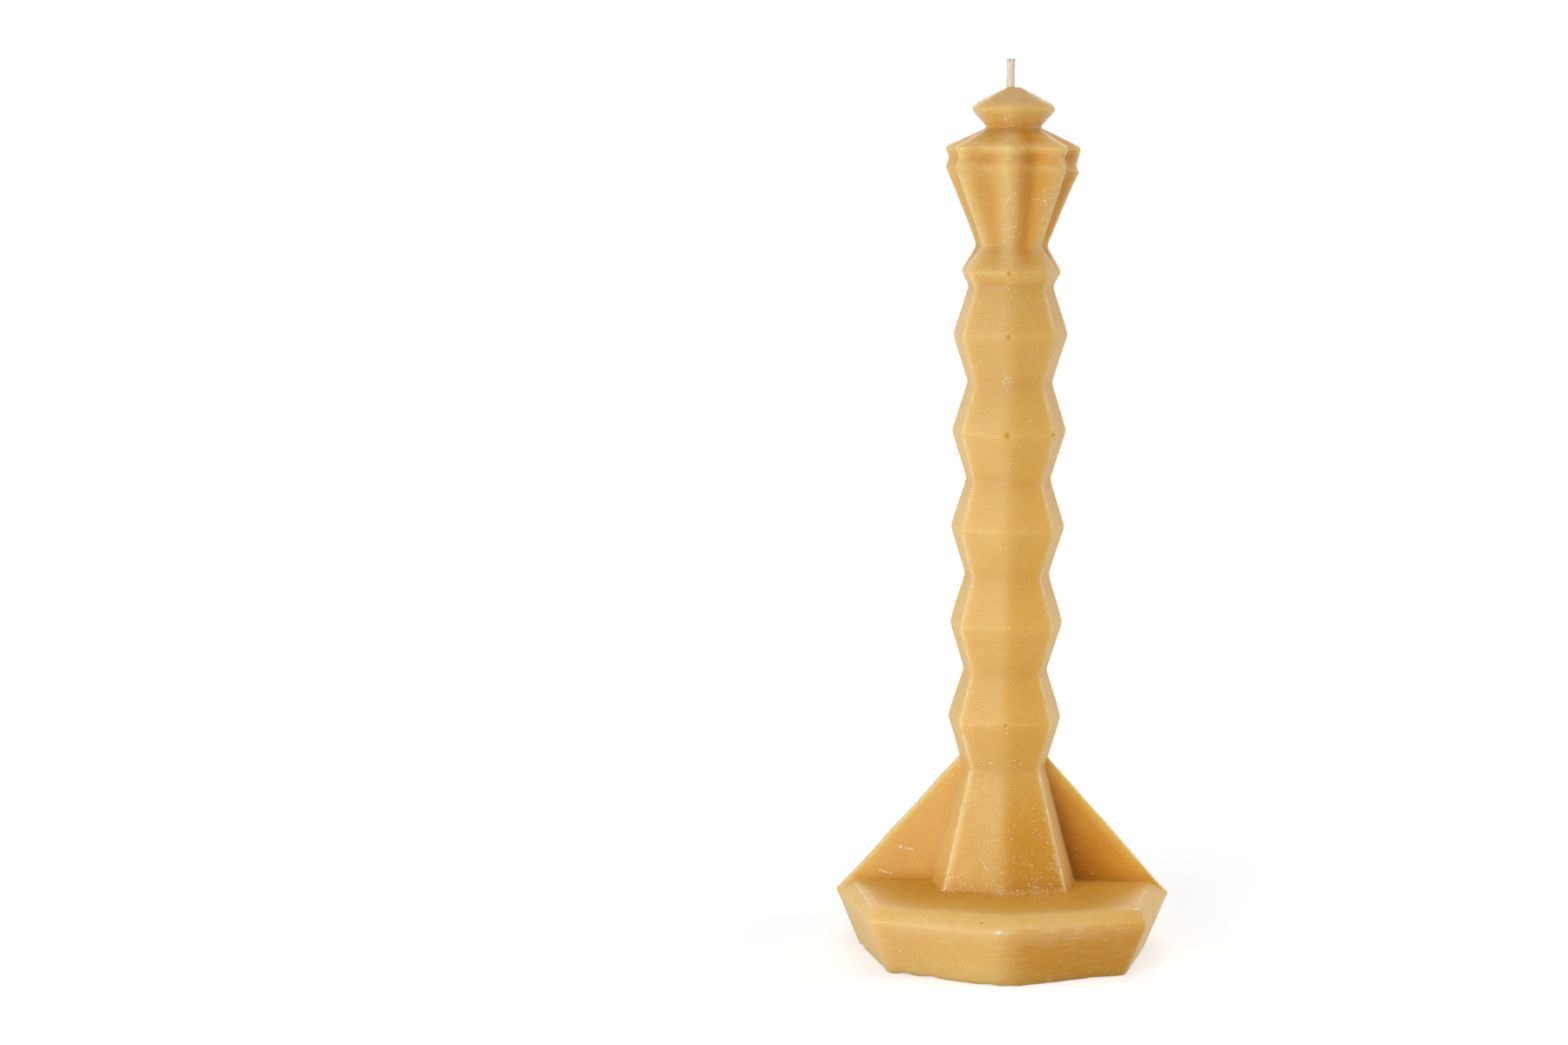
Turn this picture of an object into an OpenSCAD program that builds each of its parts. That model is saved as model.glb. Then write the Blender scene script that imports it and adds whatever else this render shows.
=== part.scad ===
// Geometric candle: a faceted beeswax casting, poured around one cotton wick.
// Millimetres. Origin at the middle of the underside, +Z up, front towards -Y, fins along X.
//
// The casting is a stack of eight-sided sections. Each section has four ridges (front, right,
// back, left) and four corners between them, and the corners stand a little further out.
// In the crown the sides between ridges and corners are drawn in to flutes.

/* [Base] */
// Width of the underside, across opposite ridges
under_w = 65.6; // [50:0.2:74]
// Width of the underside, across opposite corners
under_corner_w = 73.4; // [56:0.2:84]
// Width of the rim, the widest edge, across opposite ridges
rim_w = 75.8; // [66:0.2:90]
// Width of the rim, across opposite corners
rim_corner_w = 86; // [74:0.2:100]
// Height of the rim above the table
rim_h = 12.7; // [6:0.1:24]
// Width of the flat deck inside the rim, across opposite ridges
deck_w = 67.6; // [48:0.2:74]
// Width of the deck, across opposite corners
deck_corner_w = 79.6; // [54:0.2:84]
// Rise of the chamfer between the rim and the deck
chamfer_h = 2.8; // [0.5:0.1:6]

/* [Foot] */
// Width of the foot on the deck, across opposite ridges
foot_w = 33.6; // [24:0.2:44]
// Width of the foot on the deck, across opposite corners
foot_corner_w = 39; // [26:0.2:50]
// Height of the foot, from the deck to the first waist
foot_h = 26.7; // [14:0.1:50]

/* [Fins] */
// Thickness of the two fins
fin_t = 4; // [2:0.1:10]
// Slope of the fins' outer edge, in degrees above level
fin_slope = 48.5; // [35:0.5:58]
// Distance from the fin's tip to the edge of the rim
fin_inset = 0.2; // [0.1:0.1:3]

/* [Stem] */
// Width of a waist, across opposite ridges
waist_w = 18.4; // [12:0.2:24]
// Width of a bead, across opposite ridges
bead_w = 25.2; // [18:0.2:36]
// Height of one bead, from waist to waist
bead_pitch = 21.6; // [10:0.1:36]
// Number of whole beads
bead_count = 5; // [1:1:8]
// How much further out the corners of the stem stand than its ridges
corner_ratio = 1.13; // [1.09:0.01:1.25]

/* [Collar] */
// Width of the half bead under the crown, across opposite ridges
collar_w = 22.2; // [18:0.2:32]
// Rise from the last waist to the edge of the half bead
collar_rise = 3.1; // [1:0.1:8]
// Rise from the edge of the half bead to the crown's waist
collar_h = 5.6; // [2:0.1:14]

/* [Crown] */
// Width of the crown's waist, across opposite ridges
crown_waist_w = 15.2; // [11:0.2:22]
// Depth of the flutes at the crown's waist
flute_waist_depth = 0.8; // [0:0.1:1.5]
// Height of the fluted cone, from the waist to the lower rim
crown_h = 17.5; // [8:0.1:30]
// Width of the lower rim, across opposite ridges
lower_rim_w = 29.4; // [22:0.2:44]
// Width of the groove between the two rims, across opposite ridges
groove_w = 27.6; // [21:0.2:43]
// Width of the upper rim, across opposite ridges
upper_rim_w = 30; // [22:0.2:44]
// Depth of the flutes at the rims
flute_rim_depth = 2.4; // [0:0.1:5]
// Rise from the lower rim to the groove
groove_rise = 1.9; // [0.5:0.1:5]
// Rise from the groove to the upper rim
upper_rim_rise = 2.4; // [0.5:0.1:5]
// Rise of the crown's roof, from the upper rim to the neck
roof_h = 4.3; // [1:0.1:12]

/* [Cap] */
// Width of the neck under the cap, across opposite ridges
neck_w = 11; // [8:0.2:20]
// Width of the cap, across opposite ridges
cap_w = 18.3; // [12:0.1:28]
// Rise from the neck to the cap's edge
cap_rise = 3.9; // [1:0.1:8]
// Width of the cap's shoulder, above its edge
shoulder_w = 16.4; // [10:0.2:26]
// Rise from the cap's edge to its shoulder
shoulder_rise = 1.3; // [0.3:0.1:4]
// Width of the blunt tip
tip_w = 3.2; // [1:0.1:8]
// Rise from the shoulder to the tip
tip_rise = 3.6; // [1:0.1:10]

/* [Wick] */
// Diameter of the wick, and of its channel in the wax
wick_d = 1.9; // [0.8:0.1:4]
// Gap between wick and wax, none because the wax is cast on the wick
wick_gap = 0; // [0:0.01:0.1]
// Length of bare wick above the tip
wick_proud = 6.3; // [3:0.1:20]
// Distance of the wick from the middle, towards -X
wick_off = 0.8; // [0:0.1:2]

/* [Casting] */
// Turn of the tip against the underside, left by the soft mould, in degrees
mould_twist = -6; // [-12:1:12]

/* [Hidden] */
wax_colour = "#dcb167";
wick_colour = "#e4d8c6";

// Heights above the table, each section on top of the one below
deck_z = rim_h + chamfer_h;
foot_top_z = deck_z + foot_h;
stem_top_z = foot_top_z + bead_count * bead_pitch;
collar_z = stem_top_z + collar_rise;
crown_waist_z = collar_z + collar_h;
lower_rim_z = crown_waist_z + crown_h;
groove_z = lower_rim_z + groove_rise;
upper_rim_z = groove_z + upper_rim_rise;
neck_z = upper_rim_z + roof_h;
cap_z = neck_z + cap_rise;
shoulder_z = cap_z + shoulder_rise;
wax_h = shoulder_z + tip_rise;
wick_h = wax_h + wick_proud;

// A section has a point every 22.5 degrees: ridge, side, corner, side, and so on
section_points = 16;
point_step = 360 / section_points;
// Room that the channel's cutter takes past both ends
cut_over = 1;
wick_sides = 48;

// How far the rim's side falls back from its ridge for each millimetre along the side
rim_corner_xy = rim_corner_w / 2 * cos(45);
rim_fall = (rim_w / 2 - rim_corner_xy) / rim_corner_xy;
// Reach of the fins from the middle, so that their square tips stay inside the rim
fin_reach = rim_w / 2 - fin_t / 2 * rim_fall - fin_inset;
fin_peak_z = rim_h + fin_reach * tan(fin_slope);

// Distance from the middle to a straight side, halfway round between its ridge and its corner
function side_r(ridge, corner) =
    ridge * corner * sin(2 * point_step) / ((ridge + corner) * sin(point_step));

// One section: height, ridge radius, corner radius, and how deep its sides are fluted
function section(z, ridge_w, corner_w, flute = 0) =
    [z, ridge_w / 2, corner_w / 2, side_r(ridge_w / 2, corner_w / 2) - flute];

// A section above the foot, whose corners follow the stem's ratio
function stem_section(z, ridge_w, flute = 0) = section(z, ridge_w, ridge_w * corner_ratio, flute);

// Radius of a section's point k: ridge, side, corner or side
function point_r(s, k) = k % 4 == 0 ? s[1] : k % 4 == 2 ? s[2] : s[3];

// Turn of the casting at height z
function twist_at(z) = mould_twist * z / wax_h;

// The section's points, in order round the axis
function section_ring(s) = [
    for (k = [0 : section_points - 1])
        let (a = k * point_step + twist_at(s[0]))
            [point_r(s, k) * cos(a), point_r(s, k) * sin(a), s[0]]
];

// All sections of the casting, from the table up
sections = [
    section(0, under_w, under_corner_w),
    section(rim_h, rim_w, rim_corner_w),
    section(deck_z, deck_w, deck_corner_w),
    section(deck_z, foot_w, foot_corner_w),
    for (i = [0 : bead_count - 1]) each [
        stem_section(foot_top_z + i * bead_pitch, waist_w),
        stem_section(foot_top_z + (i + 0.5) * bead_pitch, bead_w)
    ],
    stem_section(stem_top_z, waist_w),
    stem_section(collar_z, collar_w),
    stem_section(crown_waist_z, crown_waist_w, flute_waist_depth),
    stem_section(lower_rim_z, lower_rim_w, flute_rim_depth),
    stem_section(groove_z, groove_w, flute_rim_depth),
    stem_section(upper_rim_z, upper_rim_w, flute_rim_depth),
    stem_section(neck_z, neck_w),
    stem_section(cap_z, cap_w),
    stem_section(shoulder_z, shoulder_w),
    stem_section(wax_h, tip_w)
];

// A closed solid that joins each section to the next
module section_stack(stack) {
    n = section_points;
    last = len(stack) - 1;
    points = [for (s = stack) each section_ring(s)];
    walls = [
        for (j = [0 : last - 1], k = [0 : n - 1])
            let (a = j * n + k, b = j * n + (k + 1) % n)
                each [[a, a + n, b + n], [a, b + n, b]]
    ];
    underside = [for (k = [0 : n - 1]) k];
    tip = [for (k = [n - 1 : -1 : 0]) last * n + k];
    polyhedron(points, concat(walls, [underside, tip]), convexity = 8);
}

// Left and right fin in one plate: a triangle from rim to rim that runs through the stem
module fin_plate() {
    rotate([90, 0, 0])
        linear_extrude(fin_t, center = true)
            polygon([[-fin_reach, rim_h], [fin_reach, rim_h], [0, fin_peak_z]]);
}

// The wax, with the channel that the wick fills
module wax_body() {
    color(wax_colour)
        difference() {
            union() {
                section_stack(sections);
                fin_plate();
            }
            translate([-wick_off, 0, -cut_over])
                cylinder(d = wick_d, h = wick_h + 2 * cut_over, $fn = wick_sides);
        }
}

// The cotton wick, flush with the underside and proud of the tip
module wick() {
    color(wick_colour)
        translate([-wick_off, 0, 0])
            cylinder(d = wick_d - 2 * wick_gap, h = wick_h, $fn = wick_sides);
}

wax_body();
wick();
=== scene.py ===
"""Looks of a faceted beeswax candle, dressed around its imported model.

Shapes are worked out in millimetres and put into the meshes in metres. +Z is up, the front faces -Y
and the two fins lie along X."""
import math

import bpy
import numpy as np
from mathutils import Matrix, Vector


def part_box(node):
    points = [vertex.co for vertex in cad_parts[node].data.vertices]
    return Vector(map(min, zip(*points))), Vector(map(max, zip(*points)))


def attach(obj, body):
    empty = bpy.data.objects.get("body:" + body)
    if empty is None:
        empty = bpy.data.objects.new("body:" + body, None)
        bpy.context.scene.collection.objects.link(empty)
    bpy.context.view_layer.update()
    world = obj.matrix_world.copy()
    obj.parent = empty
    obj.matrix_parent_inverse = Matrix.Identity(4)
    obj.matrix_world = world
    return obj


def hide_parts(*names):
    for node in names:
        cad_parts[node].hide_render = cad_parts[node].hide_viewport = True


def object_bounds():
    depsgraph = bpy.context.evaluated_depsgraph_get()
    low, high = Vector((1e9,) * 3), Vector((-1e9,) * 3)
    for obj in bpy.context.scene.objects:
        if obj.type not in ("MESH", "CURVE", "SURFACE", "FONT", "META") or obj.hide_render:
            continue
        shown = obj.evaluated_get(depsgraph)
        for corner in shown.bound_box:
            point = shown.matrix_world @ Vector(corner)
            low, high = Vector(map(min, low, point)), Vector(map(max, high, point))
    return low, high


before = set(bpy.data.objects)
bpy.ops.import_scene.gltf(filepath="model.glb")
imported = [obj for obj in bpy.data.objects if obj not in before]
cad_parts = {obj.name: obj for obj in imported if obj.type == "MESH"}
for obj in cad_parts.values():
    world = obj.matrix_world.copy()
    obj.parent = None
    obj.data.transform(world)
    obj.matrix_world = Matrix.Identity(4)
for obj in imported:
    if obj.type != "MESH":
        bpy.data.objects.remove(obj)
CAD_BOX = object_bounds()

MM = 0.001
PER_MM = 1000.0
# Least length or share that is divided by
TINY = 1e-9

# Sizes of the casting in millimetres, as the model has them
CORNER_RATIO = 1.13
RIM_H = 12.7
DECK_H = 15.5
FOOT_TOP_H = 42.2
BEAD_PITCH = 21.6
BEAD_COUNT = 5
WAIST_W = 18.4
BEAD_W = 25.2
STEM_TOP_H = FOOT_TOP_H + BEAD_COUNT * BEAD_PITCH
COLLAR_H = 153.3
CROWN_WAIST_H = 158.9
UPPER_RIM_H = 180.7
WAX_H = 193.8
# Turn of the tip against the underside
TWIST_DEG = -6.0

# An outline has a point at each ridge and corner and in the middle of each side between them
OUTLINE_POINTS = 16
HALF_ROUND = OUTLINE_POINTS // 2
POINT_STEP_DEG = 360.0 / OUTLINE_POINTS
SIDE_DEG = 2 * POINT_STEP_DEG
# Places of the base's sections in the list of sections
RIM, DECK, FOOT = 1, 2, 3
# A trace added to each section's height, which keeps the two sections at the deck's height in order
SECTION_RISE = 1e-6

FIN_HALF = 2.0
FIN_SLOPE_DEG = 48.5
FIN_REACH = 37.2
# Height at which the fins' columns of the mesh rejoin the stem
FIN_END_H = 46.0
# How much thicker a fin is at its root than at its tip, on each side
FIN_DRAFT = 0.3
# Length of profile over which the fins' columns spread out again past the fins
FIN_FADE = 9.0
# Mesh columns on the flat of a fin and on the wall beside it, and the column of its slanted edge
FIN_COLUMNS = 5
WALL_COLUMNS = 5
FIN_EDGE_COLUMN = 2
# Width of flat fin from which its marks show in full
FIN_CLEAR = 6.0

# How far the rounding of each edge reaches along the profile
SOFT_EDGE = {
    "under": 0.5, "rim": 1.2, "deck": 1.1, "foot": 0.9, "waist": 0.9, "bead": 0.7, "collar": 1.0,
    "crown_waist": 1.0, "lower_rim": 0.7, "groove": 0.6, "upper_rim": 0.8, "neck": 0.8,
    "cap_edge": 0.7, "shoulder": 0.8, "tip": 0.7,
}
# Edges softer than this have five mesh rows, and the others three
WIDE_SOFT = 0.75
# How far the rounding of the upright edges reaches, at rising heights, and that of the fins' edges
SOFT_HEIGHTS = (15.4, 15.6, 150.0, 159.0, 181.0, 186.0)
SOFT_RIDGE = (2.4, 1.6, 1.6, 3.0, 3.2, 2.2)
SOFT_CORNER = (1.7, 1.0, 1.0, 2.0, 2.2, 1.8)
SOFT_FIN = 0.5
# Most of a stretch that one rounding takes, and most of a fin's flat
ROUND_SHARE = 0.45
FIN_ROUND_SHARE = 0.2
# Rounding takes a little off each edge, so the sections above the foot are drawn this much larger
MAKE_UP = 0.38
# Longest step between mesh rows along the profile, and mesh columns from an edge's rounding to mid-side
ROW_STEP = 3.6
SIDE_COLUMNS = 6
# Power of the sine that shapes a flute: higher leaves broader ridges
HUMP_POWER = 1.8
# The cast wax has filled the flutes a little: share of the model's depth that is left
FLUTE_SHARE = 0.8
# The front edge of the underside bulges: how far, where round the axis, and over how many degrees each way
BULGE = 3.4
BULGE_AT = -93.0
BULGE_SPREAD = 26.0
# The crown's right lobe has sagged: how far, at what angle and height, and over how much of each
SAG = 1.7
SAG_AT = -5.5
SAG_SPREAD = 16.0
SAG_H = 177.6
SAG_RISE = 2.0
# Hollow of the underside, left as the wax shrinks
DISH = 0.5
# Mesh rows that close the underside, from its middle out, and the tip, as shares of the end rows
UNDER_SHARES = (0.03, 0.25, 0.55, 0.85, 0.985)
TIP_SHARES = (0.72, 0.3)
# Slow waves of the mould's wall: height and length of each
SLOW_WAVES = ((0.07, 14.0), (0.035, 5.0))
# Wavy lower edge: lift, length, the part of the wave that stays on the table, and the height of its fade
RIPPLE = 0.7
RIPPLE_LENGTH = 4.2
RIPPLE_REST = 0.2
RIPPLE_FADE = 0.9
# It keeps to the outside: radius from which it is full, and the power of its growth up to there
RIPPLE_R = 30
RIPPLE_POWER = 8
# Shortest and longest of the plane waves that make up a noise, as shares of its length
WAVE_LENGTHS = (0.7, 1.5)
WAX_SEED = 5
# Small hollows that trapped air has left: angle round the axis, height, reach, depth
AIR_DENTS = [
    (-93.6, 117.8, 1.0, 0.35), (-49.0, 117.8, 0.75, 0.25), (-94.3, 139.4, 0.75, 0.25),
    (-94.7, COLLAR_H, 0.8, 0.3), (86.0, 96.2, 0.9, 0.35), (176.0, 74.6, 0.75, 0.25),
    (-92.0, 53.0, 0.6, 0.2), (40.0, 139.4, 0.75, 0.25),
]

# How much an outer edge is worn pale, with a painted highlight along it, or how deep the painted shade lies
# in a hollow, and how far that spreads
WEAR_AND_HIGHLIGHT = {
    "under": (0.2, 0.75), "rim": (1.0, 2.6), "deck": (0.6, 2.1), "bead": (0.15, 1.05), "collar": (0.1, 1.05),
    "lower_rim": (0.4, 1.05), "upper_rim": (0.7, 1.2), "cap_edge": (0.15, 1.05),
}
HOLLOW_SHADE = {
    "foot": (0.42, 4.0), "waist": (0.14, 2.4), "crown_waist": (0.2, 1.8), "groove": (0.15, 1.0),
    "neck": (0.32, 1.6),
}
# Painted shade on the deck, which gets little light from above: at its edge and at the foot
DECK_SHADE = (0.14, 0.52)
# Painted shade on the fin on the -X side and on the one on the +X side, which lies in the foot's shadow: in
# its middle, and along the deck.
# It grows with the distance from the slanted edge, and fades above the deck, over these lengths
FIN_SHADE = {-1: 0.12, 1: 0.95}
FIN_DECK_SHADE = {-1: 0.42, 1: 0.9}
FIN_SHADE_DEPTH = 4.2
FIN_SHADE_RISE = 2.5
# Painted shade in the flutes at front right and back left, the front right ones turned from the light, and
# the share of it in the other ones
FLUTE_SHADE = 0.7
FLUTE_SHADE_SHARE = 0.36
# Painted shade on the base and foot, on faces turned away from the lit side where no bloom or sheen lies, at
# rising heights
LOW_SIDE_SHADE_H = (13.0, 16.0, 20.0, 30.0, 42.0, 60.0)
LOW_SIDE_SHADE = (0.5, 0.8, 0.62, 0.36, 0.1, 0.0)
# Upward lean of the faces that still show it, and of those that show none
UPRIGHT = (0.4, 0.8)
# The base is worn pale, with painted highlights, at the front and less towards its sides: places along X, and
# shares of the wear and highlights
RUBBED_X = (-33.0, -24.0, 14.0, 22.0, 33.0)
RUBBED_SHARE = (0.1, 1.0, 1.0, 0.6, 0.1)
# Pale wear of the upright edges at the heights of their softness, and of the fins' edges
RIDGE_WORN = (0.5, 0.2, 0.25, 0.6, 0.6, 0.3)
CORNER_WORN = (0.4, 0.7, 0.7, 0.55, 0.55, 0.3)
FIN_WORN = 0.45
# Thin chafed line along the corners: its strength at the same heights, and its reach
CORNER_CHAFED = (0.0, 1.0, 0.45, 0.3, 0.3, 0.0)
CHAFED_REACH = 0.38
# Level direction that faces look in when they carry most bloom and painted sheen, to the left and a little to
# the front where the key light is, or the opposite one
BLOOM_AND_SHEEN_WAY = np.array([-0.94, -0.34, 0.0])
# How nearly a face looks that way where bloom and painted sheen start, and where they are full
BLOOM_AND_SHEEN_LEAN = (0.2, 0.7)
# Least bloom and painted sheen on the fin on the -X side, which the key light falls on
FIN_BLOOM_AND_SHEEN = 0.7
# Band of pits round the foot: its spread up the foot, out over the deck, and each side of the front
PITS_UP = 24.0
PITS_OUT = 2.0
PITS_ROUND = 15.0
# Clusters of white specks: angle round the axis, height, reach and strength
FROST = [
    (-107, 186.6, 2.6, 0.9), (-88, 184.5, 1.5, 0.5), (-60, 178.0, 2.5, 0.6), (-62, 169.3, 3.6, 1.0),
    (-66, 164.5, 2.6, 0.6), (-97, 169.5, 2.6, 0.8), (-97, 164.5, 2.8, 1.0), (-102, 160.5, 2.4, 0.6),
    (-104, 156.0, 2.8, 0.7), (-72, 155.0, 2.2, 0.8), (-96, 149.0, 2.5, 0.8), (-106, 146.5, 5.0, 0.55),
    (-68, 137.0, 1.8, 0.7), (-95, 131.0, 1.9, 1.2), (-112, 131.2, 2.4, 0.6), (-95, 127.0, 2.2, 0.8),
    (-94, 110.5, 1.6, 0.9), (-72, 97.5, 1.2, 0.8), (-104, 60.0, 3.0, 0.4), (-92, 43.0, 3.0, 0.6),
    (-128, 17.0, 3.2, 0.9), (-137, 15.6, 3.0, 0.8), (-92, 16.2, 5.0, 0.9), (-66, 16.4, 5.0, 1.0),
    (-110, 16.3, 4.0, 0.7), (-48, 16.5, 4.0, 0.7), (-75, 15.6, 7.0, 0.5), (-52, 14.0, 4.0, 0.4),
    (80, 168.0, 4.0, 0.7), (100, 131.0, 2.5, 0.8), (70, 88.0, 3.0, 0.6), (95, 16.3, 6.0, 0.9),
    (150, 60.0, 3.0, 0.5), (30, 110.0, 3.0, 0.5), (-93, 19.0, 2.0, 0.7), (-93, 23.0, 1.6, 0.65),
    (-93, 27.5, 1.6, 0.6), (-93, 31.5, 1.4, 0.55), (-94, 36.5, 1.4, 0.55), (-120, 181.0, 1.5, 0.6),
    (-98, 180.8, 1.2, 0.6), (-76, 181.0, 1.5, 0.7), (-60, 181.2, 1.2, 0.8),
]
# Scrapes and chips: the two ends of each in millimetres, and its half width
SCRAPES = [
    ((-3.4, -8.9, 43.8), (-2.6, -8.9, 44.1), 0.5),
    ((-3.0, -36.9, 12.4), (-1.4, -37.0, 12.2), 0.55),
    ((-33.4, -6.0, 15.0), (-31.5, -15.3, 14.8), 0.3),
    ((-31.5, -15.3, 14.8), (-30.0, -24.0, 14.7), 0.3),
    ((25.0, -27.4, 15.5), (27.9, -27.5, 15.3), 0.4),
    ((-28.0, -2.1, 17.4), (-25.4, -2.2, 16.7), 0.3),
    ((-23.2, -2.1, 22.9), (-20.6, -2.1, 22.3), 0.45),
    ((-5.7, -13.2, 23.4), (-4.1, -14.4, 20.6), 0.22),
    ((-4.2, -12.8, 26.1), (-3.4, -13.4, 24.4), 0.18),
    ((16.0, -31.5, 11.0), (20.0, -30.0, 10.6), 0.4),
]
# Pin holes: place in millimetres and radius
PIN_HOLES = [((-3.0, -8.9, 43.9), 0.22), ((-6.1, -34.8, 13.8), 0.3), ((6.6, -34.6, 11.2), 0.3)]
# Share of its reach inside which a scrape, a pin hole or an air dent shows in full
SCRAPE_CORE = 0.45
PIN_CORE = 0.6
DENT_CORE = 0.2

# Pitch of the fine level lines left by the printed pattern of the mould, and how far they waver, in radians
LAYER_PITCH = 0.52
LINE_WAVER = 1.5
# Share of the lines that shows where there is no bloom or painted sheen
LINES_BARE = 0.2
# Long streaks of the base: stretch of their noise, heights between which they come in, and share above
STREAK_STRETCH = (0.4, 0.4, 3.0)
STREAK_H = (RIM_H + 1, RIM_H - 2)
STREAK_ABOVE = 0.3
# Darker, duller colour on the upper part: the heights between which it comes in, and how much of it
TOP_DULLING = ((90.0, 170.0, 0.65), (185.0, 189.0, 0.3))
# Painted shade at which the middle shade colour gives way to the deep one
SHADE_HALF = 0.5
# Bubbles in the wax: mean distance, least radius and what chance adds to it
BUBBLE_GAP = 0.68
BUBBLE_R = 0.13
BUBBLE_R_MORE = 0.09
# Chance numbers from which a bubble starts to show and shows in full, and what full pitting adds to its own
BUBBLE_PICK = (0.988, 0.994)
PITTED_PICK = 0.5
# In bubble radii: where the dark hole starts and is full, the middle of its light lip, and the lip's spread
HOLE_EDGE = (0.95, 0.55)
LIP_AT = 1.35
LIP_EDGE = (0.45, 0.15)
# White specks: noise level at which they start and are full, and what full frost and full wear add to it
SPECK_LEVEL = (0.70, 0.75)
SPECK_FROST = 0.16
SPECK_WORN = 0.03
SPECK_SHARE = 0.8
# Noises of the materials: scale per millimetre, detail and roughness
NOISE = {
    "waver": (0.35, 2.0, 0.5), "patches": (0.09, 3.0, 0.5), "streak": (1.0, 4.0, 0.65),
    "drift": (0.05, 3.0, 0.5), "mottle": (1.6, 3.0, 0.7), "grain": (3.4, 2.0, 0.6), "rub": (0.5, 3.0, 0.5),
    "gaps": (0.6, 4.0, 0.7), "rough": (0.7, 4.0, 0.5), "peel": (1.1, 3.0, 0.5), "speck": (2.4, 3.0, 0.75),
    "speck_drift": (0.22, 2.0, 0.5), "scrape": (2.0, 3.0, 0.7), "fibre": (1.0, 4.0, 0.6),
    "soil": (0.6, 3.0, 0.5),
}
# How some of these noises are mapped: from lowest and highest, to lowest and highest
NOISE_RANGE = {
    "patches": (0.35, 0.65, 0.2, 1.0), "streak": (0.5, 0.72, 0.0, 1.0), "drift": (0.3, 0.7, -0.15, 0.15),
    "mottle": (0.3, 0.7, 0.0, 1.0), "grain": (0.52, 0.68, 0.0, 1.0), "rub": (0.3, 0.7, 0.5, 1.0),
    "gaps": (0.4, 0.6, 0.05, 0.6), "rough": (0.3, 0.7, 0.4, 0.52), "speck_drift": (0.4, 0.7, -0.02, 0.03),
    "scrape": (0.42, 0.58, 0.0, 1.0), "soil": (0.5, 0.75, 0.0, 1.0),
}
# The wax itself, without and with bloom and painted sheen, in screen values
GOLD = (225, 176, 68)
BLOOMED_AND_LIT = (226, 186, 110)
# What lies over it or shows through: the most that it covers, and its colour. The two shade coats are painted
# shade, the wear coat also paints highlights along the rim and edges, and the dents and holes are painted
# darker, as shade in their hollows
COATS = {
    "dulling": (1.0, (196, 158, 92)), "mottle": (0.3, (236, 200, 134)), "lines": (0.4, (196, 144, 64)),
    "painted_shade": (1.0, (208, 150, 42)), "deep_painted_shade": (1.0, (184, 120, 2)), "streaks": (0.5, (240, 210, 152)),
    "grain": (0.2, (244, 218, 166)), "wear_and_highlight": (0.65, (228, 198, 146)), "chafed": (1.0, (252, 232, 192)),
    "dents": (0.7, (206, 142, 34)), "lips": (0.7, (255, 238, 198)), "white": (1.0, (255, 242, 210)),
    "holes": (0.75, (146, 90, 20)),
}
# Height of each mark in millimetres, for the relief
RELIEF = {
    "lines": 0.019, "streaks": 0.04, "peel": 0.06, "holes": -0.15, "lips": 0.05, "specks": 0.06,
    "scrapes": 0.08, "pins": -0.2, "dents": -0.3,
}
# Satin, translucent finish
WAX_FINISH = {
    "Specular IOR Level": 0.25, "Subsurface Weight": 0.65, "Subsurface Radius": (1.0, 0.85, 0.35),
    "Subsurface Scale": 10.0 * MM,
}

# Strands of the wick, and the height over which they turn once round
STRANDS = 8
STRAND_TURN = 40.0
# Radius between the strands, and what a strand adds, as shares of the wick's radius
STRAND_FOOT = 0.87
STRAND_RISE = 0.08
# Mesh rows in the wax and above it, and columns round the cord
HIDDEN_ROWS = 40
BARE_ROWS = 60
CORD_COLUMNS = 64
# How far under the wax's tip the hidden rows end and the bare ones start, and how far under the cut those end
HIDDEN_END = 3.5
BARE_START = 3.0
CUT_ROOM = 0.6
# Flare towards the cut: share of the radius, and length
FLARE = 0.05
FLARE_LENGTH = 2.0
# Narrow place below the cut: share of the radius, distance from the cut, and spread
PINCH = 0.05
PINCH_BELOW = 3.2
PINCH_SPREAD = 1.4
# Loose fibres: height, length across the cord, and squeeze of the noise along it
FRAY = 0.03
FRAY_LENGTH = 0.6
FRAY_SQUEEZE = 0.3
# Ragged cut: height and length of its waves, and its slant and the way that this faces in radians
RAGGED = 0.3
RAGGED_LENGTH = 0.55
CUT_SLANT = 0.2
CUT_SLANT_AT = 0.5
# Rings that close the cut: share of the last row's radius, and lift above it
CUT_RINGS = ((0.97, 0.25), (0.85, 0.42), (0.6, 0.3), (0.3, 0.2))
CORD_SEED = 21
# Cotton in screen values: between the fibres, on them, and where it is soiled, with the most that soil covers
COTTON_SHADE = (212, 192, 168)
COTTON_CREAM = (246, 236, 222)
COTTON_SOIL = (222, 192, 156)
SOIL_SHARE = 0.35
COTTON_ROUGH = 0.75
# Fibres: stretch of their noise, its range from shade to cream, and their relief in millimetres
FIBRE_STRETCH = (6.0, 6.0, 0.5)
FIBRE_RANGE = (0.3, 0.7)
FIBRE_RELIEF = 0.12

# Floor in metres: half its width, its drop below the candle, and where its glow starts to rise and is full
FLOOR_HALF = 4.0
FLOOR_DROP = 0.05 * MM
GLOW_FROM = 0.12
GLOW_TO = 0.7
# Strength of the glow near the candle
GLOW_NEAR = 0.59
# Grey of the floor to the light that falls on things, and to the camera
FLOOR_GREY = (0.8, 0.8, 0.8, 1)
FLOOR_GREY_SEEN = (0.62, 0.62, 0.62, 1)
WHITE = (1, 1, 1, 1)
# Light of the surround on things, and its brightness to the camera
SURROUND = 0.1
SURROUND_SEEN = 1.0
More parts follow.
